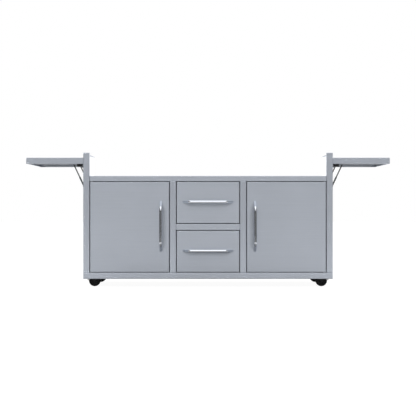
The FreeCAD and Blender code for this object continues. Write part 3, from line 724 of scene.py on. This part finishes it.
def add_catches(materials):
    # Housings with a screwed tab above, and two steel poles in the front of each
    low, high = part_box("door_catches")
    front, shoulder = low.y + POLE_PROUD, low.z + CATCH_HEIGHT
    tab = low.y + CATCH_TAB_START
    housings, steel = [], []
    for start in (low.x, high.x - CATCH_WIDTH):
        end, middle = start + CATCH_WIDTH, start + CATCH_WIDTH / 2
        housings.append(block((start, front, low.z), (end, high.y, shoulder), CATCH_ROUNDING))
        housings.append(block((start, tab, shoulder - CATCH_TAB_ROOT), (end, tab + CATCH_TAB, high.z),
                              CATCH_TAB_ROUNDING))
        for z in (low.z + (CATCH_HEIGHT - POLE_SPACING) / 2, low.z + (CATCH_HEIGHT + POLE_SPACING) / 2):
            steel.append(block((middle - POLE_WIDTH / 2, low.y, z - POLE_SHEET / 2),
                               (middle + POLE_WIDTH / 2, front + POLE_ROOT, z + POLE_SHEET / 2),
                               POLE_ROUNDING))
        for x in (middle - CATCH_WIDTH / 4, middle + CATCH_WIDTH / 4):
            place = (x, tab + CATCH_TAB, (shoulder + high.z) / 2)
            steel.append(placed(pan_head(SCREW_RADIUS, SCREW_HEIGHT), place, (0, 1, 0)))
    add_piece(materials, "catch_housings", housings, "cabinet", "catch_plastic", ["door_catches"])
    add_piece(materials, "catch_poles", steel, "cabinet", "hardware_steel")


def tyre(radius, rim, half):
    # Bead by the rim, round shoulders, and two grooves a third of the way out from the tread's middle
    side = [(rim, 0.0)] + [(rim + out, half - sunk) for out, sunk in TYRE_BEAD]
    for step in range(SHOULDER_STEPS + 1):
        angle = math.radians(90 / SHOULDER_STEPS * step)
        side.append((radius - TYRE_SHOULDER * (1 - math.sin(angle)),
                     half - TYRE_SHOULDER * (1 - math.cos(angle))))
    groove = half / 3
    side += [(radius, groove + TREAD_GROOVE), (radius - TREAD_GROOVE, groove + TREAD_GROOVE / 2),
             (radius - TREAD_GROOVE, groove - TREAD_GROOVE / 2), (radius, groove - TREAD_GROOVE)]
    other = [(r, -z) for r, z in reversed(side[1:])]
    return turned(side + other, WHEEL_SEGMENTS, closed=True)


def hub(rim, half, boss_half):
    # Boss, web with radial ribs on both faces, and rim
    rim_inner, rim_half = rim - HUB_RIM_WALL, half - HUB_RIM_SETBACK
    cut, rim_cut = HUB_CHAMFER, HUB_RIM_CHAMFER
    period = 2 * math.pi / HUB_RIBS

    def level(radius, z, angle):
        on_web = HUB_BOSS + rim_cut < radius < rim_inner - rim_cut
        if not on_web or angle % period >= period / HUB_RIB_PART:
            return z
        share = (radius - HUB_BOSS) / (rim_inner - HUB_BOSS)
        return math.copysign(boss_half - HUB_RIB_DROP - share * (boss_half - rim_half), z)

    boss = [(HUB_BORE, 0.0), (HUB_BORE, boss_half - cut), (HUB_BORE + cut, boss_half),
            (HUB_BOSS - cut, boss_half), (HUB_BOSS, boss_half - cut)]
    web = [(HUB_BOSS, HUB_WEB + cut), (HUB_BOSS + cut, HUB_WEB), (rim_inner - cut, HUB_WEB),
           (rim_inner, HUB_WEB + cut)]
    edge = [(rim_inner, rim_half - rim_cut), (rim_inner + rim_cut, rim_half),
            (rim - rim_cut, rim_half), (rim, rim_half - rim_cut)]
    side = boss + web + edge
    other = [(r, -z) for r, z in reversed(side[1:])]
    return turned(side + other, WHEEL_SEGMENTS, level, closed=True)


def add_wheels(materials):
    # Tyres and hubs in full, in the place of the plain ones
    for corner in ("front_left", "front_right", "rear_left", "rear_right"):
        low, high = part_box(corner + "_tyre")
        centre, radius, half = (low + high) / 2, (high.z - low.z) / 2, (high.y - low.y) / 2
        hub_low, hub_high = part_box(corner + "_hub")
        rim, boss_half = (hub_high.z - hub_low.z) / 2, (hub_high.y - hub_low.y) / 2
        body = corner + "_wheel"
        rubber = placed(tyre(radius, rim, half), centre, (0, 1, 0))
        plastic = placed(hub(rim, half, boss_half), centre, (0, 1, 0))
        add_piece(materials, corner + "_rubber_tyre", [rubber], body, "caster_tyre", [corner + "_tyre"])
        add_piece(materials, corner + "_ribbed_hub", [plastic], body, "black_plastic", [corner + "_hub"])


def add_pedal_ridges(materials):
    # Grip ridges across the toes of the brake pedals
    heel = math.radians(PEDAL_HEEL)
    surface = PEDAL_RING + PEDAL_PLATE / 2
    for side, corner in ((1, "front_left"), (-1, "front_right")):
        low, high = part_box(corner + "_tyre")
        centre = (low + high) / 2
        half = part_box(corner + "_brake_pedal")[1].y - centre.y - RIDGE_INSET
        rod = turned([(PEDAL_RIDGE / 2, -half), (PEDAL_RIDGE, PEDAL_RIDGE / 2 - half),
                      (PEDAL_RIDGE, half - PEDAL_RIDGE / 2), (PEDAL_RIDGE / 2, half)], RIDGE_SEGMENTS)
        ridges = []
        for along in PEDAL_RIDGES:
            x = surface * math.cos(heel) - along * math.sin(heel)
            z = surface * math.sin(heel) + along * math.cos(heel)
            ridges.append(placed(rod, (centre.x + side * x, centre.y, centre.z + z), (0, 1, 0)))
        add_piece(materials, corner + "_pedal_ridges", ridges, corner + "_pedal", "black_plastic")


def make_camera():
    camera = bpy.data.cameras.new("camera")
    camera.lens = LENS
    camera.sensor_width = SENSOR
    camera.sensor_fit = "HORIZONTAL"
    camera.clip_start, camera.clip_end = CAMERA_RANGE
    stand = bpy.data.objects.new("camera", camera)
    stand.location = (0.0, FRONT - CAMERA_DISTANCE, CAMERA_HEIGHT)
    stand.rotation_euler = (math.radians(90), 0.0, 0.0)
    bpy.context.scene.collection.objects.link(stand)
    bpy.context.scene.camera = stand


def ramped(nodes, links, source, stops):
    # Grey levels by the source's value, from (place, level) stops
    ramp = nodes.new("ShaderNodeValToRGB")
    elements = ramp.color_ramp.elements
    while len(elements) < len(stops):
        elements.new(0.5)        # each gets its own place below
    for element, (place, level) in zip(elements, stops):
        element.position = place
        element.color = (*grey(level), 1.0)
    links.new(source, ramp.inputs["Fac"])
    return ramp.outputs["Color"]


def shown_and_reflected(nodes, links, shown, reflected):
    # One shader for what the camera sees directly, another for light and reflections
    path = nodes.new("ShaderNodeLightPath")
    mix = nodes.new("ShaderNodeMixShader")
    links.new(path.outputs["Is Camera Ray"], mix.inputs["Fac"])
    links.new(reflected, mix.inputs[1])
    links.new(shown, mix.inputs[2])
    return mix.outputs["Shader"]


def both(nodes, links, first, second):
    total = nodes.new("ShaderNodeAddShader")
    links.new(first, total.inputs[0])
    links.new(second, total.inputs[1])
    return total.outputs["Shader"]


def emission(nodes, links, strength):
    glow = nodes.new("ShaderNodeEmission")
    feed(links, glow.inputs["Strength"], strength)
    return glow.outputs["Emission"]


def floor_material():
    # Nearly white to the camera, with rings of painted shadow and light in what the cart reflects
    material, nodes, links, shader = new_material("studio_floor")
    distance = nodes.new("ShaderNodeVectorMath")
    distance.operation = "LENGTH"
    links.new(position(nodes), distance.inputs[0])
    share = calculated(nodes, links, "DIVIDE", distance.outputs["Value"], FLOOR_REACH)
    rings = ramped(nodes, links, share, [(place / FLOOR_REACH, level) for place, level in FLOOR])
    links.new(rings, shader.inputs["Base Color"])
    shader.inputs["Roughness"].default_value = FLOOR_ROUGHNESS
    shader.inputs["Specular IOR Level"].default_value = 0.0
    back = split_axes(nodes, links, position(nodes))["Y"]
    behind = emission(nodes, links, ranged(nodes, links, back, *REAR_START, REAR_FLOOR))
    pale = nodes.new("ShaderNodeBsdfDiffuse")
    feed(links, pale.inputs["Color"], grey(FLOOR_SHADE))
    seen = both(nodes, links, emission(nodes, links, FLOOR_GLOW), pale.outputs["BSDF"])
    mirrored = both(nodes, links, shader.outputs["BSDF"], behind)
    surface = shown_and_reflected(nodes, links, seen, mirrored)
    links.new(surface, nodes["Material Output"].inputs["Surface"])
    return material


def make_floor():
    mesh = bpy.data.meshes.new("studio_floor")
    corners = [(x * FLOOR_REACH, y * FLOOR_REACH, 0) for x, y in ((-1, -1), (1, -1), (1, 1), (-1, 1))]
    mesh.from_pydata(corners, [], [(0, 1, 2, 3)])
    mesh.materials.append(floor_material())
    floor = bpy.data.objects.new("studio_floor", mesh)
    bpy.context.scene.collection.objects.link(floor)


def make_key(name, outward, above, strength, lit):
    # Parallel soft light from the front, which only lifts the satin sheet of the nodes that it is for
    light = bpy.data.lights.new(name, "SUN")
    light.energy = strength
    light.angle = math.radians(KEY_SIZE)
    lamp = bpy.data.objects.new(name, light)
    lamp.rotation_euler = (math.radians(90 - above), 0.0, math.radians(outward))
    lamp.visible_glossy = False
    bpy.context.scene.collection.objects.link(lamp)
    receivers = bpy.data.collections.new(name + "_receivers")
    for node in lit:
        receivers.objects.link(node)
    lamp.light_linking.receiver_collection = receivers


def make_keys(slots):
    # One key for the sheet on each side of the cart, and one for the sheet across its middle
    sides = {-1: [], 0: [], 1: []}
    for name, node in frame["nodes"].items():
        if slots[name] in KEY_SLOTS:
            low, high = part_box(name)
            middle = (low.x + high.x) / 2
            side = 0 if abs(middle) < MIDDLE_WIDTH else math.copysign(1, middle)
            sides[side].append(node)
    outward, above = SIDE_KEY
    make_key("left_key", -outward, above, KEY_STRENGTH, sides[-1])
    make_key("right_key", outward, above, KEY_STRENGTH, sides[1])
    make_key("middle_key", *MIDDLE_KEY, KEY_STRENGTH, sides[0])
    make_key("rail_fill", *MIDDLE_KEY, RAIL_FILL, [frame["nodes"]["bottom_front_rail"]])


def sine_place(degrees):
    # Where an elevation falls on a ramp over the sine from -1 to 1
    return (math.sin(math.radians(degrees)) + 1) / 2


def make_world():
    # Dark strip at the horizon, soft boxes above it, side walls, and a bright wall behind the cart
    world = bpy.data.worlds.new("studio")
    bpy.context.scene.world = world
    world.use_nodes = True
    nodes, links = world.node_tree.nodes, world.node_tree.links
    direction = split_axes(nodes, links, nodes.new("ShaderNodeTexCoord").outputs["Generated"])
    height = ranged(nodes, links, direction["Z"], -1.0, 1.0)
    colour = ramped(nodes, links, height, [(sine_place(angle), level) for angle, level in SKY])
    begins, full = SIDE_WALLS
    for side, level in ((1, RIGHT_WALL), (-1, LEFT_WALL)):
        share = ranged(nodes, links, direction["X"], side * begins, side * full)
        colour = mixed(nodes, links, share, colour, grey(level))
    above = ranged(nodes, links, direction["Z"], *REAR_RISE)
    rear = mixed(nodes, links, above, grey(REAR_WALL), grey(REAR_SKY))
    behind = ranged(nodes, links, direction["Y"], *REAR_PART)
    studio = nodes["Background"]
    links.new(mixed(nodes, links, behind, colour, rear), studio.inputs["Color"])
    white = nodes.new("ShaderNodeBackground")
    feed(links, white.inputs["Color"], grey(1.0))
    surface = shown_and_reflected(nodes, links, white.outputs["Background"], studio.outputs["Background"])
    links.new(surface, nodes["World Output"].inputs["Surface"])


def set_colours():
    view = bpy.context.scene.view_settings
    view.view_transform = "Standard"
    view.look = "None"


slots = {part["node"]: part["material_slot"] for part in frame["record"]["subparts"]}
materials = make_materials()
dress_nodes(materials, slots)
make_camera()
add_bracket_hardware(materials)
add_drawer_hardware(materials)
add_liner_rivets(materials)
add_catches(materials)
add_wheels(materials)
add_pedal_ridges(materials)
make_floor()
make_world()
make_keys(slots)
set_colours()
